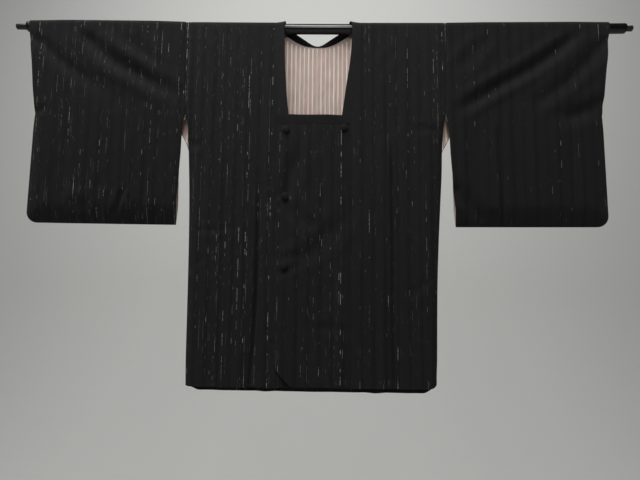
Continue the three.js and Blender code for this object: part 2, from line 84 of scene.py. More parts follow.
DEPTH = -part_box("sleeve_right")[0].y  # outer skin of the coat, from the rod's axis
HEM_FRONT = -806 * MM
BACK_HEM_DROP = {"right": 10.5 * MM, "left": 13 * MM}  # at the side seams, below the front hem
HEM_CORNER_REACH = 28 * MM
HEM_FACING = 22 * MM  # the outer cloth turns up inside the hem this far
BODY_HALF_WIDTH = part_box("body_left")[1].x
HEM_LIFT_REACH = 18 * MM
HEM_FADE = 90 * MM  # the hem's lift and drop fade out this far above it
HEM_CORNER_LIFT = {"right": 2 * MM, "left": 12 * MM}
SIDE_SEAM_TOP = -293 * MM
ARMHOLE_END = -209 * MM
SIDE_REACH = 45 * MM  # the body swells to its full depth this far from the sewn side seam

SLEEVE_BOTTOM = level_points("sleeve_right")[:, 2].min()
SLEEVE_CORNER = 25 * MM
SLEEVE_EDGE_REACH = 60 * MM
SLEEVE_BELLY = {"reach": 45 * MM, "power": 1.3}  # how the sleeve swells above its bottom seam

NECK_BOTTOM = level_points("collar_front_left")[:, 2].max()
COLLAR_WIDTH = NECK_BOTTOM - level_points("collar_front_left")[:, 2].min()
COLLAR_HIDDEN = 1.5 * MM
COLLAR_GAP = 0.5 * MM
COLLAR_DEPTH = DEPTH + COLLAR_GAP
NECK_JOG = (-212 * MM, -204 * MM)  # where the edge steps from the overlap's seam to the neckline
LOWER_COLLAR_END = 54 * MM
BACK_NECK_DROP = 41 * MM
BACK_NECK_HALF = 83.4 * MM
BACK_NECK_LEAN = math.radians(43)
BACK_NECK_LEAN_REACH = 34 * MM
OVER_ROD_FREE_X = 73 * MM
OVER_ROD_FREE_ANGLE = math.radians(112)

ROW_STEP = 6.5 * MM  # between the rows of a panel's points

OVERLAP_TOP = -213 * MM
OVERLAP_SEAM = 71 * MM
OVERLAP_CORNER = {"top": -752 * MM, "width": 41 * MM, "power": 1.75}
OVERLAP_FLARE = {"lift": 2.5 * MM, "from": -700 * MM, "reach": 60 * MM}
OVERLAP_LIFT = (-35 * MM, -58 * MM)
OVERLAP_DIP = (-OVERLAP_SEAM, -56 * MM)
OVERLAP_DIP_DEPTH = 2 * LAYER + 0.8 * MM
OVERLAP_WEAVE_SHIFT = 0.0137  # its stripes don't run on from the body's

LINING_TOP = -6 * MM
LINING_HEM = -800 * MM
LINING_SQUEEZE = 0.3  # below that height the lining's rows lie this much closer together

# ---- Curves and fields ----


def clamp(value):
    return np.clip(value, 0.0, 1.0)


def lerp(start, end, share):
    return start + (end - start) * share


def ease(value):
    value = clamp(value)
    return value * value * (3 - 2 * value)


def rise(value, start, end):
    """A soft step from 0 at start to 1 at end."""
    return ease((value - start) / (end - start))


def round_out(distance, reach):
    """0 at a sewn edge, rounding out to 1 at the distance called reach."""
    return np.sqrt(1 - (1 - clamp(distance / reach)) ** 2)


def smooth_curve(positions, values):
    """A smooth function of position through the given values, without overshoot."""
    order = np.argsort(positions)
    x, y = np.asarray(positions, float)[order], np.asarray(values, float)[order]
    step = np.diff(x)
    slope = np.diff(y) / step
    tangent = np.concatenate([slope[:1], np.zeros(len(x) - 2), slope[-1:]])
    product = slope[:-1] * slope[1:]
    turning = product > 0
    tangent[1:-1][turning] = 2 * product[turning] / (slope[:-1] + slope[1:])[turning]

    def at(where):
        where = np.clip(where, x[0], x[-1])
        k = np.clip(np.searchsorted(x, where) - 1, 0, len(step) - 1)
        t = (where - x[k]) / step[k]
        value = y[k] * (1 + 2 * t) * (1 - t) ** 2 + y[k + 1] * t * t * (3 - 2 * t)
        return value + step[k] * (tangent[k] * t * (1 - t) ** 2 + tangent[k + 1] * t * t * (t - 1))

    return at


def solid_edges(node, face, side=None, low_zone=0.03):
    """(inner, outer): how far a solid's two edges are from the middle line, by height.

    Rows of the solid less than low_zone above its lowest point count as one.
    """
    points = level_points(node)
    points = points[(points[:, 1] * face > -TINY) & (points[:, 2] < TINY)]
    if side:
        points = points[points[:, 0] * SIGN[side] > 0]
    low = points[:, 2].min()
    level = np.where(points[:, 2] < low + low_zone, low, np.round(points[:, 2], 4))
    ends = {np.argmin: [], np.argmax: []}
    for height in np.unique(level):
        row = points[level == height]
        for pick, rows in ends.items():
            end = row[pick(np.abs(row[:, 0]))]
            rows.append((end[2], abs(end[0])))
    return [smooth_curve(*np.array(rows).T) for rows in ends.values()]


PANEL_FACES = [(side, face) for side in SIGN for face in (FRONT, BACK)]
BODY_SIDE = {(side, face): solid_edges(f"body_{side}", face)[1] for side, face in PANEL_FACES}
SLEEVE_INNER = {
    (side, face): solid_edges(f"sleeve_{side}", face, low_zone=0.002)[0]
    for side, face in PANEL_FACES
}
CUFF_EDGE = {side: solid_edges(f"sleeve_{side}", FRONT)[1] for side in SIGN}
NECK_EDGE = {side: solid_edges("collar_band", FRONT, side)[0] for side in SIGN}
OVERLAP_EDGE = solid_edges("overlap_left", FRONT, "right", low_zone=0.06)[1]


def distance_to_path(x, z, path):
    """Distance of each point from a smooth path through a few points, and its share along it."""
    path = np.array(path, float) * MM
    knots = np.linspace(0, 1, len(path))
    fine = np.linspace(0, 1, 8 * (len(path) - 1) + 1)
    line = np.column_stack([smooth_curve(knots, path[:, k])(fine) for k in (0, 1)])
    best = np.full(x.shape, np.inf)
    share = np.zeros(x.shape)
    for k in range(len(line) - 1):
        start, along = line[k], line[k + 1] - line[k]
        t = clamp(((x - start[0]) * along[0] + (z - start[1]) * along[1]) / (along @ along))
        distance = np.hypot(x - start[0] - t * along[0], z - start[1] - t * along[1])
        nearer = distance < best
        best = np.where(nearer, distance, best)
        share = np.where(nearer, (k + t) / (len(line) - 1), share)
    return best, share


# Troughs pressed or hung into the cloth. Half width and depth are in millimetres.
# Then come three numbers in per cent: the height of the soft ridges beside the trough, of its
# depth, and the stretches over which it fades in and out, of its length. The rest are the points
# (x, z) of its path, in millimetres.
FRONT_CREASES = [
    # Right front: the long fold beside the overlap, and softer flutes towards the side seam.
    (4.5, 7.0, 5, 45, 2, (-127, -320), (-124, -438), (-125, -590), (-137, -830)),
    (13, 4.8, 5, 50, 2, (-129, -560), (-133, -690), (-144, -840)),
    (17, 1.6, 30, 30, 10, (-206, -330), (-209, -560), (-214, -830)),
    (13, 1.2, 40, 30, 30, (-172, -90), (-168, -300), (-176, -520)),
    (12, 1.0, 40, 30, 20, (-238, -400), (-241, -600), (-243, -800)),
    # Left front.
    (4.5, 9.0, 5, 20, 2, (169, -260), (169, -402), (171, -577), (171, -690), (175, -830)),
    (11, 4.2, 5, 45, 2, (161, -420), (163, -690), (168, -840)),
    (15, 1.5, 30, 30, 10, (215, -320), (212, -560), (214, -830)),
    (14, 1.3, 40, 30, 30, (118, -100), (122, -280), (116, -500)),
    (13, 1.2, 30, 30, 10, (112, -520), (117, -660), (119, -830)),
    # Overlap: drag lines from the lowest button, and hollows between the buttons.
    (15, 3.4, 40, 20, 40, (-44, -548), (2, -510), (45, -466), (102, -388)),
    (8, 2.2, 40, 20, 35, (-92, -532), (-58, -530), (-22, -522)),
    (6, 3.0, 30, 10, 40, (-80, -571), (-51, -554), (-22, -537)),
    (12, 1.8, 40, 20, 40, (-70, -412), (-20, -452), (48, -470)),
    (13, 7.0, 25, 40, 20, (-38, -270), (-54, -345), (-69, -412)),
    (6, 1.6, 35, 20, 30, (-88, -424), (-76, -416), (-62, -402)),
    (14, 2.2, 35, 25, 25, (-82, -425), (-75, -480), (-80, -535)),
    (11, 1.5, 40, 30, 30, (-78, -575), (-72, -660), (-74, -760)),
    (13, 1.3, 40, 30, 30, (-10, -250), (-4, -330), (-8, -420)),
    (12, 1.1, 40, 30, 30, (34, -540), (28, -680), (31, -800)),
    # Puckers across the fronts.
    (8, 1.5, 50, 30, 30, (-13, -682), (34, -680), (89, -683)),
    (6, 1.2, 50, 30, 30, (8, -570), (18, -580), (30, -592)),
    (8, 1.6, 40, 30, 30, (-98, -706), (-90, -714), (-80, -720)),
    (6, 1.6, 50, 25, 25, (-276, -468), (-225, -472), (-165, -465)),
    (6, 1.5, 50, 15, 40, (-272, -556), (-251, -541), (-230, -526)),
    (8, 2.4, 50, 10, 45, (-290, -280), (-270, -281), (-248, -274)),
    (8, 1.6, 50, 20, 40, (286, -246), (242, -241), (210, -250)),
    (9, 1.3, 50, 20, 40, (262, -560), (232, -590), (190, -618)),
    # Right sleeve: drag folds from the shoulder end of the rod to the underarm.
    (14, 6.4, 45, 12, 45, (-556, 10), (-481, -74), (-398, -121), (-335, -158), (-304, -180)),
    (13, 5.0, 15, 12, 55, (-660, -16), (-620, -55), (-571, -98), (-500, -141), (-440, -172)),
    (20, 1.5, 35, 35, 35, (-580, -92), (-520, -138), (-450, -176), (-390, -205)),
    (12, 1.8, 50, 25, 25, (-470, -14), (-410, -52), (-352, -112), (-300, -190)),
    (8, 3.2, 30, 5, 60, (-648, -206), (-622, -203), (-596, -200)),
    (6, 4.6, 60, 25, 15, (-420, -372), (-433, -409), (-446, -446)),
    (10, 2.6, 40, 30, 20, (-397, -405), (-392, -422), (-386, -446)),
    (11, 2.6, 40, 30, 30, (-560, -414), (-523, -420), (-482, -414)),
    (8, 1.6, 50, 30, 30, (-380, -300), (-376, -360), (-384, -430)),
    (12, 1.5, 40, 30, 20, (-560, -240), (-566, -330), (-560, -430)),
    # Left sleeve: the stronger pair, the hollow at the cuff and a line pressed into the cloth.
    (12, 7.5, 40, 10, 20, (600, 12), (563, -39), (491, -94), (386, -154), (298, -212)),
    (13, 5.4, 40, 10, 45, (668, -14), (631, -60), (574, -119), (510, -171), (458, -194)),
    (13, 2.6, 50, 20, 25, (398, -10), (364, -54), (338, -85), (318, -112)),
    (16, 7.5, 10, 5, 55, (652, -180), (597, -201), (559, -213), (512, -216)),
    (4.5, 5.5, 10, 15, 5, (404, -222), (405, -311), (408, -378), (410, -458)),
    (16, 6.5, 25, 20, 10, (298, -362), (331, -408), (368, -455)),
    (12, 1.6, 40, 30, 20, (560, -250), (556, -340), (562, -440)),
    (10, 1.4, 40, 30, 20, (346, -250), (350, -340), (344, -430)),
]
# The back's are like the front's, a little shallower.
BACK_CREASES = [
    (12, 6.0, 30, 35, 2, (-98, -300), (-101, -520), (-104, -840)),
    (12, 6.0, 30, 35, 2, (127, -330), (129, -560), (133, -840)),
    (16, 2.0, 30, 30, 10, (-188, -220), (-192, -500), (-196, -840)),
    (15, 1.8, 30, 30, 10, (206, -260), (203, -520), (208, -840)),
    (10, 1.5, 40, 30, 30, (36, -120), (32, -340), (37, -560)),
    (11, 1.4, 40, 30, 30, (-44, -90), (-41, -260), (-47, -430)),
    (9, 1.5, 50, 20, 40, (-270, -300), (-200, -322), (-120, -304)),
    (9, 1.5, 50, 20, 40, (268, -520), (190, -548), (110, -532)),
    (17, 4.0, 45, 25, 20, (-610, -14), (-510, -66), (-400, -130), (-306, -214)),
    (14, 2.4, 50, 25, 35, (-640, -60), (-580, -100), (-500, -150)),
    (17, 4.4, 45, 25, 20, (606, -14), (506, -64), (396, -128), (302, -212)),
    (14, 2.6, 50, 25, 35, (646, -50), (588, -96), (508, -152)),
    (10, 1.6, 40, 30, 30, (-500, -220), (-506, -330), (-500, -440)),
    (10, 1.6, 40, 30, 30, (470, -220), (476, -330), (470, -440)),
]
CREASES = {FRONT: FRONT_CREASES, BACK: BACK_CREASES}
RIDGE_AWAY, RIDGE_WIDTH = 2.1, 0.85  # of the ridges beside a trough, in its half widths
CREASE_START = -9 * MM  # above this height the cloth lies on the rod
CREASE_RISE = 32 * MM


def settled(z):
    """0 where the cloth lies on the rod, 1 where it hangs freely."""
    return ease((CREASE_START - z) / CREASE_RISE)


def crease_depth(face, x, z):
    """How far the creases push the cloth of one face towards the coat's middle plane."""
    depth = np.zeros(x.shape)
    for half_width, deep, ridge, fade_in, fade_out, *path in CREASES[face]:
        distance, share = distance_to_path(x, z, path)
        across = distance / (half_width * MM)
        ridges = ridge / 100 * np.exp(-(((across - RIDGE_AWAY) / RIDGE_WIDTH) ** 2))
        fade = ease(share / (fade_in / 100)) * ease((1 - share) / (fade_out / 100))
        depth += deep * MM * fade * (np.exp(-(across**2)) - ridges)
    return depth * settled(z)


def ripple(x, z, seed, widths, lengths, height, count=7):
    """Soft uneven undulation: a sum of waves between the given widths and lengths."""
    draw = random.Random(seed)
    total = np.zeros(x.shape)
    for _ in range(count):
        across = draw.choice((-1, 1)) * 2 * math.pi / draw.uniform(*widths)
        along = 2 * math.pi / draw.uniform(*lengths)
        total += np.sin(across * x + along * z + draw.uniform(0, 2 * math.pi))
    return total * height / math.sqrt(count)


FLUTES = {"widths": (0.06, 0.16), "lengths": (0.35, 1.1), "height": 0.9 * MM}
DIMPLES = {"widths": (0.03, 0.07), "lengths": (0.04, 0.09), "height": 0.22 * MM, "count": 9}
PUCKERS = {"widths": (0.011, 0.031), "lengths": (1, 2), "height": 0.35 * MM}
PUCKER_REACH = 14 * MM
ROLL = {"depth": 1.1 * MM, "reach": 1.6 * MM}

FLUTE_SEED = 11
DIMPLE_SEED = 23
SIDE_SEAM_SEED = {"right": 36, "left": 35}
FRONT_SEAM_SEED = {"right": 46, "left": 45}
ARMHOLE_SEED = 51
SLEEVE_BOTTOM_SEED = 61
OVERLAP_EDGE_SEED = 71


def hang(face, x, z):
    """Creases, flutes and small unevenness of one face, positive towards the middle plane."""
    flutes = ripple(x, z, FLUTE_SEED + face, **FLUTES)
    dimples = ripple(x, z, DIMPLE_SEED + face, **DIMPLES)
    return crease_depth(face, x, z) + (flutes + dimples) * settled(z)


def hang_by_angle(angle, x, z):
    """hang() for points on both faces: each face goes up to the top of the rod."""
    return np.where(angle < math.pi / 2, hang(FRONT, x, z), hang(BACK, x, z))


def seam_pucker(distance, along, seed):
    """Fine pulls beside a seam, fading away from it."""
    return ripple(along, along * 0, seed, **PUCKERS) * np.exp(-((distance / PUCKER_REACH) ** 2))


def edge_roll(distance):
    """How far a panel's outer skin sinks as it turns into a seam."""
    return ROLL["depth"] * np.exp(-((distance / ROLL["reach"]) ** 2))


# ---- Meshes ----


def add_object(name, data):
    thing = bpy.data.objects.new(name, data)
    bpy.context.scene.collection.objects.link(thing)
    return thing


def spread(stops, step):
    """Positions from the first stop to the last, at most step apart, through every stop."""
    parts = []
    for start, end in zip(stops, stops[1:]):
        count = max(1, math.ceil(abs(end - start) / step - 1e-6))
        parts.append(np.linspace(start, end, count, endpoint=False))
    return np.concatenate([*parts, [stops[-1]]])


def spread_zones(first, zones, last):
    """The first and last positions, and between them zones of (from, to, step) that join on."""
    parts = [spread(zone[:2], zone[2])[:-1] for zone in zones]
    return np.concatenate([first, *parts, [zones[-1][1]], last])


def shell(name, outer, inner, weave, materials, sewn=(), facing=False):
    """A closed thin shell between two skins of points (row, column, xyz).

    weave gives each point its place in the cloth (u across, v along the warp), in metres.
    materials are the outer cloth and the lining. facing says for each point of the inner skin
    whether the outer cloth is turned in there. sewn holds the steps along the grid's edges where
    the two skins have no rim between them, because another panel goes on there.
    """
    rows, columns = outer.shape[:2]
    points = np.concatenate([outer.reshape(-1, 3), inner.reshape(-1, 3)])
    index = np.arange(2 * rows * columns).reshape(2, rows, columns)
    corners = [index[:, :-1, :-1], index[:, :-1, 1:], index[:, 1:, 1:], index[:, 1:, :-1]]
    outside, inside = np.stack(corners, -1).reshape(2, -1, 4)
    edges = {
        "side": index[:, :, 0],
        "inner": index[:, ::-1, -1],
        "first": index[:, 0, ::-1],
        "last": index[:, -1],
    }
    rim = []
    for edge, (near, far) in edges.items():
        strip = np.stack([near[:-1], near[1:], far[1:], far[:-1]], -1)
        rim.append(strip[~np.broadcast_to(dict(sewn).get(edge, False), len(strip))])
    faces = np.concatenate([outside, inside[:, ::-1], *rim])
    slots = np.zeros(len(faces), int)
    lined = ~np.broadcast_to(facing, (rows, columns))
    slots[len(outside) : 2 * len(outside)] = lined[:-1, :-1].ravel()
    coords = np.tile(np.stack(weave, -1).reshape(-1, 2), (2, 1))
    return cloth_object(name, points, faces, coords, slots, materials)


def cloth_object(name, points, faces, coords, slots, materials):
    """A mesh object with a "weave" map, its coinciding points joined and its faces turned out."""
    points[:, 2] += sag_rise(points[:, 0])
    mesh = bpy.data.meshes.new(name)
    mesh.from_pydata(points.tolist(), [], faces.tolist())
    weave_map = mesh.uv_layers.new(name="weave")
    corners = np.zeros(len(mesh.loops), np.int32)
    mesh.loops.foreach_get("vertex_index", corners)
    weave_map.data.foreach_set("uv", coords[corners].astype(np.float32).ravel())
    for material in materials:
        mesh.materials.append(material)
    mesh.polygons.foreach_set("material_index", slots.astype(np.int32))
    work = bmesh.new()
    work.from_mesh(mesh)
    bmesh.ops.remove_doubles(work, verts=work.verts, dist=TINY)
    bmesh.ops.dissolve_degenerate(work, edges=work.edges, dist=TINY)
    bmesh.ops.recalc_face_normals(work, faces=work.faces)
    for face in work.faces:
        face.smooth = True
    work.to_mesh(mesh)
    work.free()
    piece = add_object(name, mesh)
    return piece


def over_rod(heights, steps=16):
    """Rows of a panel from its front hem over the rod to its back hem: (height, angle)."""
    angles = np.linspace(0, math.pi, steps + 1)[1:-1]
    height = np.concatenate([heights[::-1], np.zeros(len(angles)), heights])
    angle = np.concatenate([heights * 0, angles, heights * 0 + math.pi])
    return height, angle


def rod_grid(heights, shares):
    """Height and angle of each point of a panel laid over the rod."""
    return [rows[:, None] * np.ones(len(shares)) for rows in over_rod(heights)]


def by_stretch(angle, front, over, back):
    """One of three values: in front of the rod, over it, or behind it."""
    return np.where(angle < TINY, front, np.where(angle > math.pi - TINY, back, over))


def warp_length(height, angle):
    """Position along the warp, from the top of the rod: negative in front, positive behind."""
    return DEPTH * (angle - math.pi / 2) + by_stretch(angle, height, 0, -height)


def laid(x, depth, height, angle):
    """Points of cloth at a depth from the middle plane, or from the rod's axis over the rod."""
    return np.stack([x, -depth * np.cos(angle), height + depth * np.sin(angle)], -1)


def inner_depth(outer):
    """Depth of the inner skin, which stays inside the outer one where that comes to an edge."""
    return np.maximum(outer - CLOTH, LEAST_INNER * outer)


# ---- Body ----


def body_side(side, angle, height):
    height = np.maximum(height, HEM_FRONT)
    front, back = (BODY_SIDE[side, face](height) for face in (FRONT, BACK))
    return np.where((angle < math.pi / 2) | (height <= SIDE_SEAM_TOP), front, back)


def body_inner(side, angle, height):
    """Where a body panel ends towards the middle: front seam, neckline, back neckline and seam."""
    neck = NECK_EDGE[side](height) + COLLAR_HIDDEN
    front = lerp(OVERLAP_SEAM + SEAM_GAP / 2, neck, rise(height, *NECK_JOG))
    over = lerp(NECK_EDGE[side](0.0) + COLLAR_HIDDEN, BACK_NECK_HALF, angle / math.pi)
    up_neck = clamp((height + BACK_NECK_DROP) / BACK_NECK_DROP)
    back = np.maximum(SEAM_GAP / 2, BACK_NECK_HALF * np.sqrt(up_neck))
    return by_stretch(angle, front, over, back)


def hem_offset(side, angle, x, distance, height):
    """The hem lifts at the side seam, and the back one hangs lower; both fade in upwards."""
    lift = HEM_CORNER_LIFT[side] * (1 - round_out(distance, HEM_LIFT_REACH))
    across_back = clamp(x / BODY_HALF_WIDTH * 0.5 + 0.5)
    drop = lerp(BACK_HEM_DROP["right"], BACK_HEM_DROP["left"], across_back)
    drop = np.where(angle > math.pi / 2, drop, 0) * ease(distance / HEM_CORNER_REACH)
    return (lift - drop) * ease(1 - (height - HEM_FRONT) / HEM_FADE)


# Rows beside the back neckline come closer together at its lowest part, above the back seam.
NECK_ROWS = -BACK_NECK_DROP * (1 - np.linspace(1, 0, 15) ** 2)
BODY_STOPS = [-BACK_NECK_DROP, *NECK_JOG[::-1], SIDE_SEAM_TOP, HEM_FRONT + 6 * MM]
NEAR_HEM = HEM_FRONT + np.array([3, 1, 0]) * MM
BODY_HEIGHTS = np.concatenate([NECK_ROWS, spread(BODY_STOPS, ROW_STEP)[1:], NEAR_HEM])
# Shares of the panel's width, close together at its edges and where the long folds hang.
BODY_SHARES = spread_zones(
    [0, 0.004, 0.01, 0.02, 0.035],
    [(0.05, 0.38, 0.021), (0.38, 0.80, 0.009), (0.80, 0.985, 0.021)],
    [0.993, 1],
)


def body_grid(side, shares, layer):
    """The points of skin 0 or 1 of a body panel, and their places in the cloth."""
    height, angle = rod_grid(BODY_HEIGHTS, shares)
    edge = body_side(side, angle, height) - SEAM_GAP / 2
    inner = body_inner(side, angle, height)
    distance = (edge - inner) * shares
    x = SIGN[side] * (edge - distance)
    open_side = rise(height, SIDE_SEAM_TOP, ARMHOLE_END)
    share = lerp(round_out(distance, SIDE_REACH), 1, open_side)
    outer = (DEPTH - hang_by_angle(angle, x, height)) * share
    from_inner = edge - distance - inner
    below_collar = clamp((NECK_BOTTOM - height) / COLLAR_WIDTH)
    puckers = seam_pucker(distance, height, SIDE_SEAM_SEED[side]) * share
    puckers += seam_pucker(from_inner, height, FRONT_SEAM_SEED[side]) * share * below_collar
    roll = edge_roll(distance) * open_side + edge_roll(from_inner)
    outer = np.maximum(outer + puckers, 0) - roll * (layer == 0) * share
    if layer:
        outer = inner_depth(outer)
        inset = CLOTH * (1 - open_side) * (shares == 0)
        x = x - SIGN[side] * inset
        outer = np.where((inset > 0) & (open_side == 0), 0, outer)
    reached = height + hem_offset(side, angle, x, distance, height)
    return laid(x, outer, reached, angle), (x, warp_length(height, angle))


def sewn_steps(heights, seam_top):
    """For each step from row to row, whether the panel's side is sewn there."""
    heights = over_rod(heights)[0]
    return np.maximum(heights[:-1], heights[1:]) <= seam_top + TINY


def body_panel(side, materials):
    outer, weave = body_grid(side, BODY_SHARES, 0)
    inner, _ = body_grid(side, BODY_SHARES, 1)
    sewn = {"side": sewn_steps(BODY_HEIGHTS, SIDE_SEAM_TOP)}
    facing = inner[..., 2] - inner[[0, -1], :, 2].max(0) < HEM_FACING
    return shell(f"coat_body_{side}", outer, inner, weave, materials, sewn, facing)


def back_lining(side, materials):
    """Half of the back lining, on the inside of the body panel's back."""
    grid, weave = body_grid(side, BODY_SHARES[1:], 1)
    behind = over_rod(BODY_HEIGHTS)[1] > math.pi - TINY
    behind &= grid[:, -1, 2] < LINING_TOP
    skin, weave = grid[behind], [place[behind] for place in weave]
    above_hem = skin[..., 2] - LINING_HEM
    skin[..., 2] = np.maximum(skin[..., 2], LINING_HEM + LINING_SQUEEZE * above_hem)
    first = skin - np.array([0, LINING_GAP, 0])
    second = skin - np.array([0, LINING_GAP + LINING, 0])
    return shell(f"back_lining_{side}", first, second, weave, materials)


# ---- Sleeves ----

# Rows come closer together just above the bottom seam.
SLEEVE_FINE = 30 * MM
SLEEVE_HEIGHTS = np.concatenate(
    [
        spread([0, ARMHOLE_END, SLEEVE_BOTTOM + SLEEVE_FINE], ROW_STEP),
        SLEEVE_BOTTOM + SLEEVE_FINE * (1 - np.linspace(0, 1, 13)[1:]) ** 1.6,
    ]
)
# Shares of the sleeve's width, close together at its edges and where a line is pressed into it.
SLEEVE_SHARES = spread_zones(
    [0, 0.003, 0.008, 0.016, 0.028, 0.045],
    [(0.065, 0.67, 0.013), (0.67, 0.73, 0.0055), (0.73, 0.985, 0.013)],
    [0.995, 1],
)

# Where the sleeve's folded top lies on the rod and where it stands off it, towards the body and
# towards the cuff: distances from the middle.
STAND_START, STAND_END = (250 * MM, 400 * MM), (680 * MM, 560 * MM)
STAND_HEIGHT = {"right": 2.6 * MM, "left": 1.4 * MM}
STAND_FADE = 45 * MM


def sleeve_stand(side, reach, height):
    """How far the top of the sleeve stands above its place on the rod."""
    along = rise(reach, *STAND_START) * rise(reach, *STAND_END)
    return STAND_HEIGHT[side] * along * ease(1 + height / STAND_FADE)


def cuff_edge(side, height):
    edge = CUFF_EDGE[side](height)
    below = clamp((SLEEVE_BOTTOM + SLEEVE_CORNER - height) / SLEEVE_CORNER)
    return edge - SLEEVE_CORNER * (1 - np.sqrt(1 - below**2))


def sleeve_grid(side, layer):
    """The points of skin 0 or 1 of a sleeve, and their places in the cloth."""
    height, angle = rod_grid(SLEEVE_HEIGHTS, SLEEVE_SHARES)
    outer_edge = cuff_edge(side, height)
    front, back = (SLEEVE_INNER[side, face](height) for face in (FRONT, BACK))
    inner_edge = np.where(angle < math.pi / 2, front, back) + SEAM_GAP / 2
    reach = lerp(outer_edge, inner_edge, SLEEVE_SHARES)
    x = SIGN[side] * reach
    from_full = 1 - clamp((height - SLEEVE_BOTTOM) / SLEEVE_BELLY["reach"])
    belly = 1 - from_full ** SLEEVE_BELLY["power"]
    cuff = round_out(height - ARMHOLE_END, -ARMHOLE_END)
    at_edge = round_out(outer_edge - reach, SLEEVE_EDGE_REACH)
    share = np.minimum(belly, lerp(at_edge, 1, cuff))
    puckers = seam_pucker(reach - inner_edge, height, ARMHOLE_SEED)
    puckers += seam_pucker(height - SLEEVE_BOTTOM, x, SLEEVE_BOTTOM_SEED)
    depth = np.maximum((DEPTH - hang_by_angle(angle, x, height) + puckers) * share, 0)
    depth = depth - (edge_roll(reach - inner_edge) * share if layer == 0 else 0)
    at_bottom = height <= SLEEVE_BOTTOM + TINY
    at_cuff = SLEEVE_SHARES == 0
    depth = np.where(at_bottom | (at_cuff & (cuff == 0)), 0, depth)
    if layer:
        depth = inner_depth(depth)
        x = x - SIGN[side] * CLOTH * (1 - cuff) * at_cuff
        height = height + CLOTH * at_bottom
    stood = height + sleeve_stand(side, reach, height)
    return laid(x, depth, stood, angle), (x, warp_length(height, angle))


def sleeve(side, materials):
    outer, weave = sleeve_grid(side, 0)
    inner, _ = sleeve_grid(side, 1)
    sewn = {"side": sewn_steps(SLEEVE_HEIGHTS, ARMHOLE_END), "first": True, "last": True}
    return shell(f"coat_sleeve_{side}", outer, inner, weave, materials, sewn)


# ---- Overlap panels ----


def top_depth(x):
    """The top panel rises by a layer where it comes to lie on the right front."""
    return DEPTH + LAYER * rise(x, *OVERLAP_LIFT)


def lower_depth(x):
    """The lower panel dips under the top one as it leaves its seam."""
    return DEPTH - OVERLAP_DIP_DEPTH * rise(x, *OVERLAP_DIP)


def overlap_edge(height):
    top = OVERLAP_CORNER["top"]
    below = clamp((top - height) / (top - HEM_FRONT))
    rounding = OVERLAP_CORNER["width"] * below ** OVERLAP_CORNER["power"]
    return OVERLAP_EDGE(np.maximum(height, top)) - rounding


def corner_flare(x, height):
    """How far the top panel's lower corner stands off the right front."""
    low = rise(height, OVERLAP_FLARE["from"], HEM_FRONT)
    return OVERLAP_FLARE["lift"] * low * ease(-x / OVERLAP_FLARE["reach"])


OVERLAP_HEIGHTS = np.concatenate(
    [
        spread([OVERLAP_TOP, OVERLAP_CORNER["top"]], ROW_STEP),
        spread([OVERLAP_CORNER["top"], HEM_FRONT], 4 * MM)[1:],
    ]
)
OVERLAP_SHARES = spread_zones([0, 0.006, 0.018], [(0.035, 0.98, 0.033)], [0.992, 1])


def overlap_panel(side, materials):
    """The top panel grows from the left front and the lower one from the right front."""
    height = OVERLAP_HEIGHTS[:, None] * np.ones(len(OVERLAP_SHARES))
    far = overlap_edge(height)
    near = -OVERLAP_SEAM + SEAM_GAP / 2
    reach = lerp(far, near, OVERLAP_SHARES)
    x = -SIGN[side] * reach
    base = top_depth(x) + corner_flare(x, height) if side == "left" else lower_depth(x)
    depth = base - hang(FRONT, x, height)
    from_seam, from_edge = reach - near, far - reach
    puckers = seam_pucker(from_seam, height, FRONT_SEAM_SEED[side])
    if side == "left":
        puckers += np.abs(seam_pucker(from_edge, height, OVERLAP_EDGE_SEED))
    depth += puckers * clamp((NECK_BOTTOM - height) / COLLAR_WIDTH - 1)
    roll = edge_roll(from_seam) + 0.5 * edge_roll(from_edge)
    outer = np.stack([x, -(depth - roll), height], -1)
    inner = np.stack([x, -(depth - CLOTH), height], -1)
    weave = (x + OVERLAP_WEAVE_SHIFT, height)
    facing = (height - HEM_FRONT < HEM_FACING) | (from_edge < HEM_FACING)
    return shell(f"coat_overlap_{side}", outer, inner, weave, materials, facing=facing)


# ---- Collar ----

COLLAR_SHARES = np.array([0, 0.04, 0.12, 0.25, 0.4, 0.6, 0.8, 0.93, 1])
COLLAR_THIN = 0.15 * MM  # at its attached edge, where it lies nearly flush with the panel
COLLAR_SINK = COLLAR_GAP - 0.15 * MM  # how much closer to the panel that edge lies
COLLAR_ROUND = {"depth": 0.5 * MM, "power": 14}  # how its folded free edge rounds off
SHARP_RIM = math.radians(50)


def collar_strip(name, stations, lengths, materials):
    """A doubled band: rows of inner-skin points with the way each faces."""
    at = np.array([[point for point, _ in row] for row in stations])
    out = np.array([[facing for _, facing in row] for row in stations])
    rounding = COLLAR_ROUND["depth"] * COLLAR_SHARES ** COLLAR_ROUND["power"]
    thick = lerp(COLLAR_THIN, CLOTH, COLLAR_SHARES) - rounding
    at = at - out * (COLLAR_SINK * (1 - COLLAR_SHARES))[None, :, None]
    outer = at + out * thick[None, :, None]
    weave = np.broadcast_arrays(COLLAR_SHARES * COLLAR_WIDTH, lengths[:, None])
    band = shell(name, outer, at, weave, materials)
    band.data.set_sharp_from_angle(angle=SHARP_RIM)
    return band


FORWARD = np.array([0.0, -1.0, 0.0])


def across(attached, free, facing):
    return [(lerp(attached, free, share), facing) for share in COLLAR_SHARES]


def front_point(x, height, depth):
    """A point of the band over the front, which follows the cloth's folds under it."""
    hung = float(hang(FRONT, np.array([x]), np.array([height]))[0])
    return np.array([x, -(depth - hung), height])


def front_rows(point, attached, free, shares):
    """Rows of a band over the front. attached and free are its edges' first and last places."""
    edges = [np.array(edge, float) for edge in (attached, free)]
    return [across(*(point(*lerp(*edge, share)) for edge in edges), FORWARD) for share in shares]


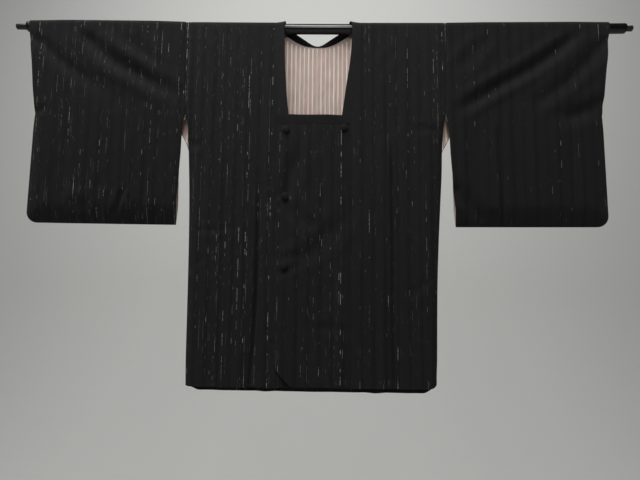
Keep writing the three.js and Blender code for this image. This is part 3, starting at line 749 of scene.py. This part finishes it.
NECK_SIDE_SHARES = np.linspace(0, 1, 32)


def neck_side(side, low_attached, low_free):
    """The stretch beside the neck opening, from its lower end, square or mitred, to the rod."""

    def point(height, out):
        x = SIGN[side] * (float(NECK_EDGE[side](height)) + out)
        return front_point(x, height, COLLAR_DEPTH)

    attached = [(low_attached, COLLAR_WIDTH), (0, COLLAR_WIDTH)]
    return front_rows(point, attached, [(low_free, 0), (0, 0)], NECK_SIDE_SHARES)


OVER_ROD_SHARES = np.linspace(0, 1, 23)[1:]
OVER_ROD_LENGTH = 2.5 * DEPTH
OVER_ROD_STAND = 2.4 * MM  # the free edge stands off the top of the rod this far


def on_rod(x, angle, column):
    facing = np.array([0, -math.cos(angle), math.sin(angle)])
    stand = OVER_ROD_STAND * column**2 * max(0, math.sin(angle)) ** 4
    return np.array([x, 0, 0]) + facing * (COLLAR_DEPTH + stand), facing


def neck_over_rod(side):
    """Over the rod the free edge lags behind, which turns the band to the back neck."""
    start = float(NECK_EDGE[side](0.0))
    rows = []
    for share in OVER_ROD_SHARES:
        attached = lerp(start + COLLAR_WIDTH, BACK_NECK_HALF, float(ease(share)))
        free = lerp(start, OVER_ROD_FREE_X, share)
        row = []
        for column in COLLAR_SHARES:
            angle = share * lerp(math.pi, OVER_ROD_FREE_ANGLE, column)
            row.append(on_rod(SIGN[side] * lerp(attached, free, column), angle, column))
        rows.append(row)
    return rows


def neck_behind(x):
    """One row of the shallow curve behind the neck, where the band leans back in the middle."""
    distance = abs(x)
    sag = BACK_NECK_DROP * ((distance / BACK_NECK_HALF) ** 2 - 1)
    slope = math.atan(2 * BACK_NECK_DROP * x / BACK_NECK_HALF**2)
    lean = BACK_NECK_LEAN * math.exp(-((distance / BACK_NECK_LEAN_REACH) ** 2))
    level = math.cos(lean)
    upward = np.array([-math.sin(slope) * level, math.sin(lean), math.cos(slope) * level])
    seam = np.array([x, COLLAR_DEPTH, sag])
    attached = np.array([x, COLLAR_DEPTH, sag - COLLAR_HIDDEN])
    free = seam + upward * (COLLAR_WIDTH - COLLAR_HIDDEN)
    return across(attached, free, np.array([0, level, -math.sin(lean)]))


BEHIND_X = np.linspace(-76 * MM, 76 * MM, 41)
BEHIND_STEP = 0.02  # along the band, from the stretch over the rod to the one behind the neck
BEHIND_CURVE = 1.15  # the curve's length for each metre across


def neck_band(materials):
    level = NECK_BOTTOM + SEAM_GAP
    right = [*neck_side("right", level, level), *neck_over_rod("right")]
    left = [*neck_side("left", level - COLLAR_WIDTH, level), *neck_over_rod("left")]
    stations = [*right, *(neck_behind(x) for x in BEHIND_X), *left[::-1]]
    over_at = OVER_ROD_SHARES * OVER_ROD_LENGTH
    up_at = np.concatenate([lerp(level, 0, NECK_SIDE_SHARES), over_at])
    behind_at = over_at[-1] + BEHIND_STEP + BEHIND_CURVE * (BEHIND_X - BEHIND_X[0])
    total = behind_at[-1] + BEHIND_STEP + over_at[-1]
    lengths = np.concatenate([up_at, behind_at, total - up_at[::-1]])
    return collar_strip("neck_band", stations, lengths, materials)


FRONT_BAND_SHARES = np.linspace(0, 1, 30)
FRONT_BAND_LENGTH = 0.15


def front_band(side, materials):
    """The level band across the top of an overlap panel."""
    neck = float(NECK_EDGE["left"](NECK_BOTTOM))
    free_end, attached_end = -neck, -neck - COLLAR_WIDTH
    if side == "right":
        free_end = attached_end = -LOWER_COLLAR_END
    start = float(overlap_edge(NECK_BOTTOM))

    def point(reach, height):
        x = -SIGN[side] * reach
        base = top_depth(x) if side == "left" else lower_depth(x)
        return front_point(x, height, float(base) + COLLAR_GAP)

    low = NECK_BOTTOM - COLLAR_WIDTH
    attached = [(start, low), (attached_end, low)]
    free = [(start, NECK_BOTTOM), (free_end, NECK_BOTTOM)]
    rows = front_rows(point, attached, free, FRONT_BAND_SHARES)
    lengths = FRONT_BAND_SHARES * FRONT_BAND_LENGTH
    return collar_strip(f"front_band_{side}", rows, lengths, materials)


# ---- Turned pieces ----


TURNED_SHARP = math.radians(35)


def turned(name, profile, axis, origin, material, sides=64):
    """A smooth solid of revolution: profile rows are (radius, distance along the axis)."""
    along = np.array(axis, float)
    first = np.array([0.0, 0.0, 1.0])
    second = np.cross(along, first)
    turns = [2 * math.pi * k / sides for k in range(sides)]
    work = bmesh.new()
    rings = []
    for radius, distance in profile:
        centre = np.array(origin) + along * distance
        if radius < TINY:
            rings.append([work.verts.new(centre)])
            continue
        spokes = [radius * (first * math.cos(t) + second * math.sin(t)) for t in turns]
        rings.append([work.verts.new(centre + spoke) for spoke in spokes])
    for lower, upper in zip(rings, rings[1:]):
        for k in range(sides):
            after = (k + 1) % sides
            corners = [lower[k % len(lower)], lower[after % len(lower)]]
            corners += [upper[after % len(upper)], upper[k % len(upper)]]
            unique = list(dict.fromkeys(corners))
            work.faces.new(unique).smooth = True
    bmesh.ops.recalc_face_normals(work, faces=work.faces)
    mesh = bpy.data.meshes.new(name)
    work.to_mesh(mesh)
    work.free()
    mesh.materials.append(material)
    mesh.set_sharp_from_angle(angle=TURNED_SHARP)
    piece = add_object(name, mesh)
    return piece


ROD_RING_STEP = 40 * MM
ROD_GROOVE = [(-0.8, 0), (-0.4, 0.5), (0.4, 0.5), (0.8, 0)]  # (along, deep) in mm
# (radius, height), as shares of the button's.
BUTTON_EDGE = [(0, 0), (0.93, 0), (1, 0.12), (1, 0.3), (0.97, 0.46), (0.9, 0.62), (0.8, 0.74)]
BUTTON_CROWN = [(0.72, 0.76), (0.66, 0.8), (0.5, 0.9), (0.25, 0.98), (0, 1)]


def rod_piece(node, chamfer, material, grooves=()):
    """A turned length of the rod in the place of its solid, with rounded rims and grooves."""
    low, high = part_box(node)
    radius = (high.y - low.y) / 2
    length = high.x - low.x
    arc = [(1 - math.cos(a), 1 - math.sin(a)) for a in np.linspace(0, math.pi / 2, 5)]
    start = [(radius - chamfer * q, chamfer * p) for p, q in arc]
    profile = [(0, 0), *start]
    for distance in grooves:
        profile += [(radius - deep * MM, distance + offset * MM) for offset, deep in ROD_GROOVE]
    last = profile[-1][1]
    rings = np.arange(last + ROD_RING_STEP, length - chamfer - ROD_RING_STEP / 2, ROD_RING_STEP)
    profile += [(radius, distance) for distance in rings]
    profile += [(r, length - d) for r, d in start[::-1]] + [(0, length)]
    piece = turned(f"{node}_smooth", profile, (1, 0, 0), (low.x, 0, 0), material)
    for vertex in piece.data.vertices:
        vertex.co.z += sag_rise(vertex.co.x)
    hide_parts(node)
    return piece


def button(node, material):
    """A low dome with a rounded rim, and a shallow ring where the cloth is drawn over its form."""
    low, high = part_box(node)
    radius = (high.x - low.x) / 2
    height = high.y - low.y
    profile = [(r * radius, h * height) for r, h in BUTTON_EDGE + BUTTON_CROWN]
    centre = ((low.x + high.x) / 2, high.y, (low.z + high.z) / 2)
    piece = turned(f"{node}_domed", profile, (0, -1, 0), centre, material, 40)
    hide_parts(node)
    return piece


# ---- Materials ----


class Nodes:
    """Short calls for building one material's node tree. Most give a node's output."""

    def __init__(self, name):
        self.material = bpy.data.materials.new(name)
        self.material.use_nodes = True
        self.tree = self.material.node_tree
        self.shader = self.tree.nodes["Principled BSDF"]

    def feed(self, socket, value):
        """Set a socket to a number or a colour, or link an output to it."""
        if isinstance(value, (int, float)):
            socket.default_value = value
        elif isinstance(value, tuple):
            socket.default_value = (*value, 1.0)
        else:
            self.tree.links.new(value, socket)

    def add(self, kind, inputs=(), **settings):
        """A new node's outputs. inputs are its sockets' names or numbers, with their values."""
        node = self.tree.nodes.new(kind)
        for key, value in settings.items():
            setattr(node, key, value)
        for key, value in dict(inputs).items():
            self.feed(node.inputs[key], value)
        return node.outputs

    def math(self, operation, *values):
        return self.add("ShaderNodeMath", enumerate(values), operation=operation)[0]

    def times(self, product, *factors):
        for factor in factors:
            product = self.math("MULTIPLY", product, factor)
        return product

    def scaled(self, value, factor, added):
        return self.math("MULTIPLY_ADD", value, factor, added)

    def threads(self, place, period):
        """Round threads side by side: a wave between -1 and 1."""
        return self.math("SINE", self.times(place, 2 * math.pi / period))

    def step(self, value, low, high, to_low=0.0, to_high=1.0):
        """A smooth step from one value to another."""
        keys = ("Value", "From Min", "From Max", "To Min", "To Max")
        inputs = zip(keys, (value, low, high, to_low, to_high))
        return self.add("ShaderNodeMapRange", inputs, interpolation_type="SMOOTHSTEP")["Result"]

    def split(self, vector):
        return self.add("ShaderNodeSeparateXYZ", {0: vector})[:3]

    def join(self, *values):
        return self.add("ShaderNodeCombineXYZ", enumerate(values))[0]

    def weave(self):
        """Position in the cloth in metres: across the warp, and along it."""
        return self.split(self.add("ShaderNodeUVMap", uv_map="weave")[0])[:2]

    def place(self):
        """Position in the piece in metres."""
        return self.split(self.add("ShaderNodeTexCoord")["Object"])

    def noise(self, u, v, across, along, detail=2.0, seed=0.0):
        """Noise with the given number of cells per metre across and along the warp."""
        place = self.join(self.times(u, across), self.times(v, along), seed)
        inputs = {"Vector": place, "Scale": 1.0, "Detail": detail}
        return self.add("ShaderNodeTexNoise", inputs, noise_dimensions="3D")["Fac"]

    def random(self, value, seed):
        """A different number from 0 to 1 for each whole value."""
        inputs = {"Vector": self.join(value, seed)}
        return self.add("ShaderNodeTexWhiteNoise", inputs, noise_dimensions="2D")["Value"]

    def mix(self, share, first, second, blend="MIX"):
        inputs = {0: share, 6: first, 7: second}
        return self.add("ShaderNodeMix", inputs, data_type="RGBA", blend_type=blend)[2]

    def bump(self, height, distance, strength):
        inputs = {"Height": height, "Distance": distance, "Strength": strength}
        self.feed(self.shader.inputs["Normal"], self.add("ShaderNodeBump", inputs)[0])

    def finish(self, color, **values):
        for key, value in {"Base_Color": color, **values}.items():
            self.feed(self.shader.inputs[key.replace("_", " ")], value)
        return self.material


BLACK_GROUND = (0.0092, 0.0091, 0.0091)
BLACK_STRIPE = (0.0052, 0.0051, 0.0052)
SLUB_WHITE = (0.38, 0.38, 0.365)
SLUB_WARM = (0.31, 0.275, 0.215)
STRIPE_PERIOD = 25.6 * MM
THREAD = 0.85 * MM
SOFT_SHEEN = {"Sheen_Weight": 0.03, "Sheen_Roughness": 0.5}

# Rows of slub columns: pitch, width, how much busier than the cloth, brightness, and seed.
SLUB_ROWS = [
    (3.1 * MM, 0.6 * MM, 0.0, 0.3, 40),
    (7.6 * MM, 0.65 * MM, -0.2, 0.8, 10),
    (19.0 * MM, 0.8 * MM, 0.25, 1.0, 20),
]
SLUB_LINE_WIDTH = 0.85 * MM


def slub_columns(n, u, v, pitch, width, density, seed):
    """Broken pale threads: each warp column has its own place, busy stretches and dashes."""
    counted = n.math("DIVIDE", u, pitch)
    column = n.math("FLOOR", counted)
    place = n.scaled(n.random(column, seed), 0.7, 0.15)
    off = n.math("ABSOLUTE", n.math("SUBTRACT", n.math("FRACT", counted), place))
    half = width / pitch / 2
    in_column = n.step(off, half * 0.55, half * 1.1, 1.0, 0.0)
    busy = n.noise(column, v, 7.31, 6.0, 1.0, seed + 0.37)
    dash = n.noise(column, v, 5.17, 46.0, 1.5, seed + 0.71)
    dots = n.noise(column, v, 3.77, 260.0, 1.0, seed + 0.19)
    limit = n.scaled(busy, -0.55, 1.13 - 0.25 * density)
    limit = n.scaled(n.random(column, seed + 5), -0.16, limit)
    on = n.step(n.math("SUBTRACT", dash, limit), 0.0, 0.035)
    bright = n.step(dots, 0.36, 0.56, 0.3, 1.0)
    strength = n.step(n.noise(column, v, 2.93, 18.0, 1.0, seed + 0.53), 0.38, 0.72, 0.15, 1.0)
    return n.times(on, bright, strength, in_column)


def slub_line(n, u, v, place, width, density, seed):
    """One busy warp column at a given place."""
    off = n.math("ABSOLUTE", n.math("SUBTRACT", u, place))
    in_column = n.step(off, width * 0.3, width * 0.6, 1.0, 0.0)
    dash = n.noise(place, v, 5.17, 42.0, 1.5, seed + 0.71)
    dots = n.noise(place, v, 3.77, 240.0, 1.0, seed + 0.19)
    on = n.step(dash, 0.70 - 0.25 * density, 0.73 - 0.25 * density)
    return n.times(on, n.step(dots, 0.34, 0.54, 0.2, 1.0), in_column)


def slub_threads(n, u, v, seed, density, lines):
    """How strongly the slubs of a cloth show."""
    slubs = 0.0
    for pitch, width, busier, strength, own in SLUB_ROWS:
        columns = slub_columns(n, u, v, pitch, width, density + busier, seed + own)
        slubs = n.math("MAXIMUM", n.times(columns, strength), slubs)
    for k, (place, busy) in enumerate(lines):
        line = slub_line(n, u, v, place * MM, SLUB_LINE_WIDTH, busy, seed + 30 + k)
        slubs = n.math("MAXIMUM", slubs, line)
    return slubs


def striped_black(name, seed, density, painted_light_level, lines):
    """The coat's cloth: a black weave with soft darker stripes and broken pale slub threads."""
    n = Nodes(name)
    u, v = n.weave()
    drift = n.scaled(n.noise(u, v, 14.0, 9.0, 1.0, seed), 1.6 * MM, u)
    to_stripe = n.math("PINGPONG", drift, STRIPE_PERIOD / 2)
    stripe = n.step(to_stripe, 2.2 * MM, 6.0 * MM, 1.0, 0.0)
    uneven = n.noise(u, v, 40.0, 3.0, 2.0, seed + 2)
    stripe = n.times(stripe, n.step(uneven, 0.3, 0.7, 0.45, 1.0))
    streaks = n.noise(u, v, 420.0, 5.0, 2.0, seed + 3)
    bands = n.noise(u, v, 95.0, 1.6, 1.0, seed + 4)
    # This factor scales the whole ground: below 1 it is painted shade, for cloth that gets less
    # light.
    bands = n.scaled(bands, 0.5 * painted_light_level, 0.95 * painted_light_level)
    shade = n.times(n.scaled(streaks, 0.42, 0.58), bands)
    ground = n.mix(1.0, n.mix(stripe, BLACK_GROUND, BLACK_STRIPE), shade, "MULTIPLY")
    slubs = slub_threads(n, u, v, seed, density, lines)
    warm = n.step(n.noise(u, v, 60.0, 2.0, 0.0, seed + 50), 0.64, 0.74)
    color = n.mix(slubs, ground, n.mix(warm, SLUB_WHITE, SLUB_WARM))
    threads = n.times(n.threads(u, THREAD), n.threads(v, THREAD))
    relief = n.scaled(streaks, 1.5, n.scaled(slubs, 1.2, threads))
    n.bump(relief, 0.09 * MM, 0.6)
    return n.finish(color, Roughness=0.88, Specular_IOR_Level=0.22, **SOFT_SHEEN)


def plain_black(name, color, seed):
    """The collar's and buttons' cloth: the same black without stripes, with a fine cross rib."""
    n = Nodes(name)
    u, v = n.weave()
    shade = n.step(n.noise(u, v, 160.0, 160.0, 3.0, seed), 0.25, 0.75, 0.8, 1.25)
    shaded = n.mix(1.0, color, shade, "MULTIPLY")
    threads = n.math("ADD", n.times(n.threads(u, THREAD), 0.6), n.threads(v, THREAD))
    n.bump(threads, 0.08 * MM, 0.5)
    return n.finish(shaded, Roughness=0.85, Specular_IOR_Level=0.25, **SOFT_SHEEN)


LINING_PALE = (0.96, 0.83, 0.75)
LINING_DEEP = (0.415, 0.308, 0.255)
LINING_PRESSED = (0.44, 0.355, 0.315)
LINING_PINK = (0.55, 0.33, 0.30)
LINING_PERIOD = 9.8 * MM
LINING_THREAD = 0.6 * MM

# Under the back collar the lining is pressed flat, and just below it its stripes are painted
# brighter: a painted highlight where the lining bulges and catches the light.
PRESSED = {"middle": 2.5 * MM, "side": 15.0 * MM, "edge": 1.2 * MM, "painted_highlight": 18 * MM}


def below_collar(n, u, v):
    """Distance down the cloth from the line where the lining's pressed band ends."""
    across = n.math("POWER", n.math("DIVIDE", n.math("ABSOLUTE", u), BACK_NECK_HALF), 2.0)
    start = DEPTH * math.pi / 2 + BACK_NECK_DROP + PRESSED["middle"]
    down = n.math("SUBTRACT", n.math("ABSOLUTE", v), start)
    narrowing = BACK_NECK_DROP - (PRESSED["side"] - PRESSED["middle"])
    return n.scaled(across, narrowing, down)


def striped_pink(name, seed):
    """The lining: smooth pale pink cloth with lengthwise beige stripes."""
    n = Nodes(name)
    u, v = n.weave()
    drift = n.scaled(n.noise(u, v, 20.0, 12.0, 1.0, seed), 0.8 * MM, u)
    off = n.math("PINGPONG", drift, LINING_PERIOD / 2)
    pale = n.step(off, 0.5 * MM, 2.1 * MM, 1.0, 0.0)
    uneven = n.noise(u, v, 90.0, 9.0, 2.0, seed + 1)
    pale = n.times(pale, n.step(uneven, 0.3, 0.62, 0.5, 1.0))
    flush = n.step(n.noise(u, v, 24.0, 14.0, 1.0, seed + 2), 0.5, 0.75, 0.0, 0.55)
    deep = n.mix(flush, LINING_DEEP, LINING_PINK)
    fine = n.noise(u, v, 700.0, 30.0, 2.0, seed + 3)
    deep = n.mix(n.step(fine, 0.3, 0.7, 0.0, 0.22), deep, LINING_PALE)
    down = below_collar(n, u, v)
    # Painted highlight: the pale stripes are painted brightest just below the pressed band,
    # dimming downwards.
    painted_highlight = n.step(down, 0.0, PRESSED["painted_highlight"], 1.0, 0.8)
    color = n.mix(n.times(pale, painted_highlight), deep, LINING_PALE)
    color = n.mix(n.step(down, -PRESSED["edge"], PRESSED["edge"]), LINING_PRESSED, color)
    n.bump(n.scaled(pale, 1.5, n.threads(v, LINING_THREAD)), 0.05 * MM, 0.5)
    return n.finish(color, Roughness=0.6, Sheen_Weight=0.12, Specular_IOR_Level=0.35)


def rod_enamel(name, color, roughness):
    """Dark glossy enamel on steel, with faint marks round it from sliding in and out."""
    n = Nodes(name)
    x, y, z = n.place()
    rings = n.noise(x, z, 900.0, 20.0, 3.0)
    smudge = n.noise(x, y, 30.0, 30.0, 3.0, 4.0)
    rough = n.scaled(rings, 0.06, n.scaled(smudge, 0.12, roughness - 0.06))
    n.bump(rings, 0.01 * MM, 0.3)
    return n.finish(color, Roughness=rough, Metallic=0.0, Specular_IOR_Level=0.38)


def plain(name, color, roughness):
    """Matt paint, a trace uneven."""
    n = Nodes(name)
    x, y, _ = n.place()
    lighter = tuple(min(1.0, c * 1.02) for c in color)
    return n.finish(n.mix(n.noise(x, y, 3.0, 3.0), color, lighter), Roughness=roughness)


# ---- Assembly ----

LININGS = {side: striped_pink(f"lining_{side}", 3.0 * SIGN[side]) for side in SIGN}
COLLAR_BLACK = plain_black("collar_black", (0.0064, 0.0064, 0.0067), 7.0)
BUTTON_BLACK = plain_black("button_black", (0.0046, 0.0046, 0.0048), 9.0)

# Each cloth's seed, slub density and painted light level (below 1 on the sleeves: painted shade
# for the light that falls off towards them), and the warp columns whose slubs show most: how far
# they are from the middle line in mm, and how busy.
CLOTH_LOOKS = {
    "body_right": (1.0, 0.53, 1.0, [(-296, 0.8), (-152, 0.4), (-99, 0.6)]),
    "body_left": (2.0, 0.38, 1.0, [(283, 0.6)]),
    "overlap": (5.0, 0.45, 1.0, [(69.7, 0.8)]),
    "sleeve_right": (3.6, 0.50, 0.74, [(-300, 0.6), (-633, 0.6)]),
    "sleeve_left": (4.0, 0.15, 0.78, []),
}
CLOTHS = {key: striped_black(f"cloth_{key}", *look) for key, look in CLOTH_LOOKS.items()}

ROD_BLACK = rod_enamel("rod_enamel", (0.003, 0.003, 0.003), 0.16)
CAP_BLACK = rod_enamel("rod_cap", (0.004, 0.005, 0.005), 0.3)
PIN_STEEL = rod_enamel("rod_pin", (0.016, 0.018, 0.018), 0.35)
TUBE_GROOVE = 20 * MM  # round the tube, this far from its right end
rod = rod_piece("rod_tube", 2.5 * MM, ROD_BLACK, [TUBE_GROOVE])
rod_cap = rod_piece("rod_cap_right", 3 * MM, CAP_BLACK)
pins = [rod_piece(f"rod_pin_{side}", 1 * MM, PIN_STEEL) for side in SIGN]

pieces = [rod, rod_cap, *pins]
for side in SIGN:
    inside = LININGS[side]
    body = body_panel(side, [CLOTHS[f"body_{side}"], inside])
    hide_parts(f"body_{side}")
    arm = sleeve(side, [CLOTHS[f"sleeve_{side}"], inside])
    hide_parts(f"sleeve_{side}")
    lining = back_lining(side, [inside, inside])
    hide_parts(f"lining_back_{side}")
    overlap = overlap_panel(side, [CLOTHS["overlap"], inside])
    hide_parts(f"overlap_{side}")
    band = front_band(side, [COLLAR_BLACK, COLLAR_BLACK])
    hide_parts(f"collar_front_{side}")
    pieces += [body, arm, lining, overlap, band]

neck = neck_band([COLLAR_BLACK, COLLAR_BLACK])
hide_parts("collar_band")
pieces.append(neck)

for node in ("button_neck_right", "button_neck_left", "button_middle", "button_lower"):
    pieces.append(button(node, BUTTON_BLACK))

for piece in pieces:
    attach(piece, "root")

# ---- Stage, lights and camera ----

FLOOR_HEIGHT = -1.75
SWEEP = {"front": -5.0, "back": 3.0, "half_width": 6.0, "radius": 1.2, "top": 3.5}


def backdrop():
    """A pale floor that sweeps up into a wall well behind the coat."""
    radius, back = SWEEP["radius"], SWEEP["back"]
    line = [(SWEEP["front"], 0.0)]
    for angle in np.linspace(0, math.pi / 2, 17):
        line.append((back - radius * (1 - math.sin(angle)), radius * (1 - math.cos(angle))))
    line.append((back, SWEEP["top"] - FLOOR_HEIGHT))
    sides = (-SWEEP["half_width"], SWEEP["half_width"])
    work = bmesh.new()
    rows = [[work.verts.new((x, y, FLOOR_HEIGHT + z)) for x in sides] for y, z in line]
    for lower, upper in zip(rows, rows[1:]):
        work.faces.new([lower[0], lower[1], upper[1], upper[0]]).smooth = True
    mesh = bpy.data.meshes.new("backdrop")
    work.to_mesh(mesh)
    work.free()
    mesh.materials.append(plain("backdrop_pale", (0.76, 0.76, 0.735), 0.9))
    add_object("backdrop", mesh)


def area_light(name, place, target, size, power):
    light = bpy.data.lights.new(name, "AREA")
    light.shape = "RECTANGLE"
    light.size, light.size_y = size
    light.energy = power
    lamp = add_object(name, light)
    lamp.location = place
    lamp.rotation_euler = (Vector(target) - Vector(place)).to_track_quat("-Z", "Y").to_euler()


backdrop()
area_light("ceiling", (-0.7, -1.15, 2.3), (0, -0.1, -0.4), (2.2, 0.8), 72)
area_light("strip", (0, -1.9, 1.25), (0, 0, -0.3), (0.45, 2.4), 21)
area_light("wall_wash", (0, 0.9, 2.6), (0, 3.0, 1.2), (4.0, 0.6), 31)

world = bpy.data.worlds.new("studio")
world.use_nodes = True
background = world.node_tree.nodes["Background"]
background.inputs["Color"].default_value = (0.80, 0.82, 0.82, 1)
background.inputs["Strength"].default_value = 0.10
bpy.context.scene.world = world
bpy.context.scene.view_settings.view_transform = "Standard"

CAMERA_PLACE = (0.0235, -1.0508, -0.6042)
CAMERA_TURN = (math.radians(90 + 6.2), math.radians(0.7), math.radians(0.57))
camera_data = bpy.data.cameras.new("camera")
camera_data.lens = 27
camera_data.sensor_width = 36
camera = add_object("camera", camera_data)
upward, turned_left, rolled = CAMERA_TURN
camera.matrix_world = (
    Matrix.Translation(CAMERA_PLACE)
    @ Matrix.Rotation(turned_left, 4, "Z")
    @ Matrix.Rotation(upward, 4, "X")
    @ Matrix.Rotation(rolled, 4, "Z")
)
bpy.context.scene.camera = camera
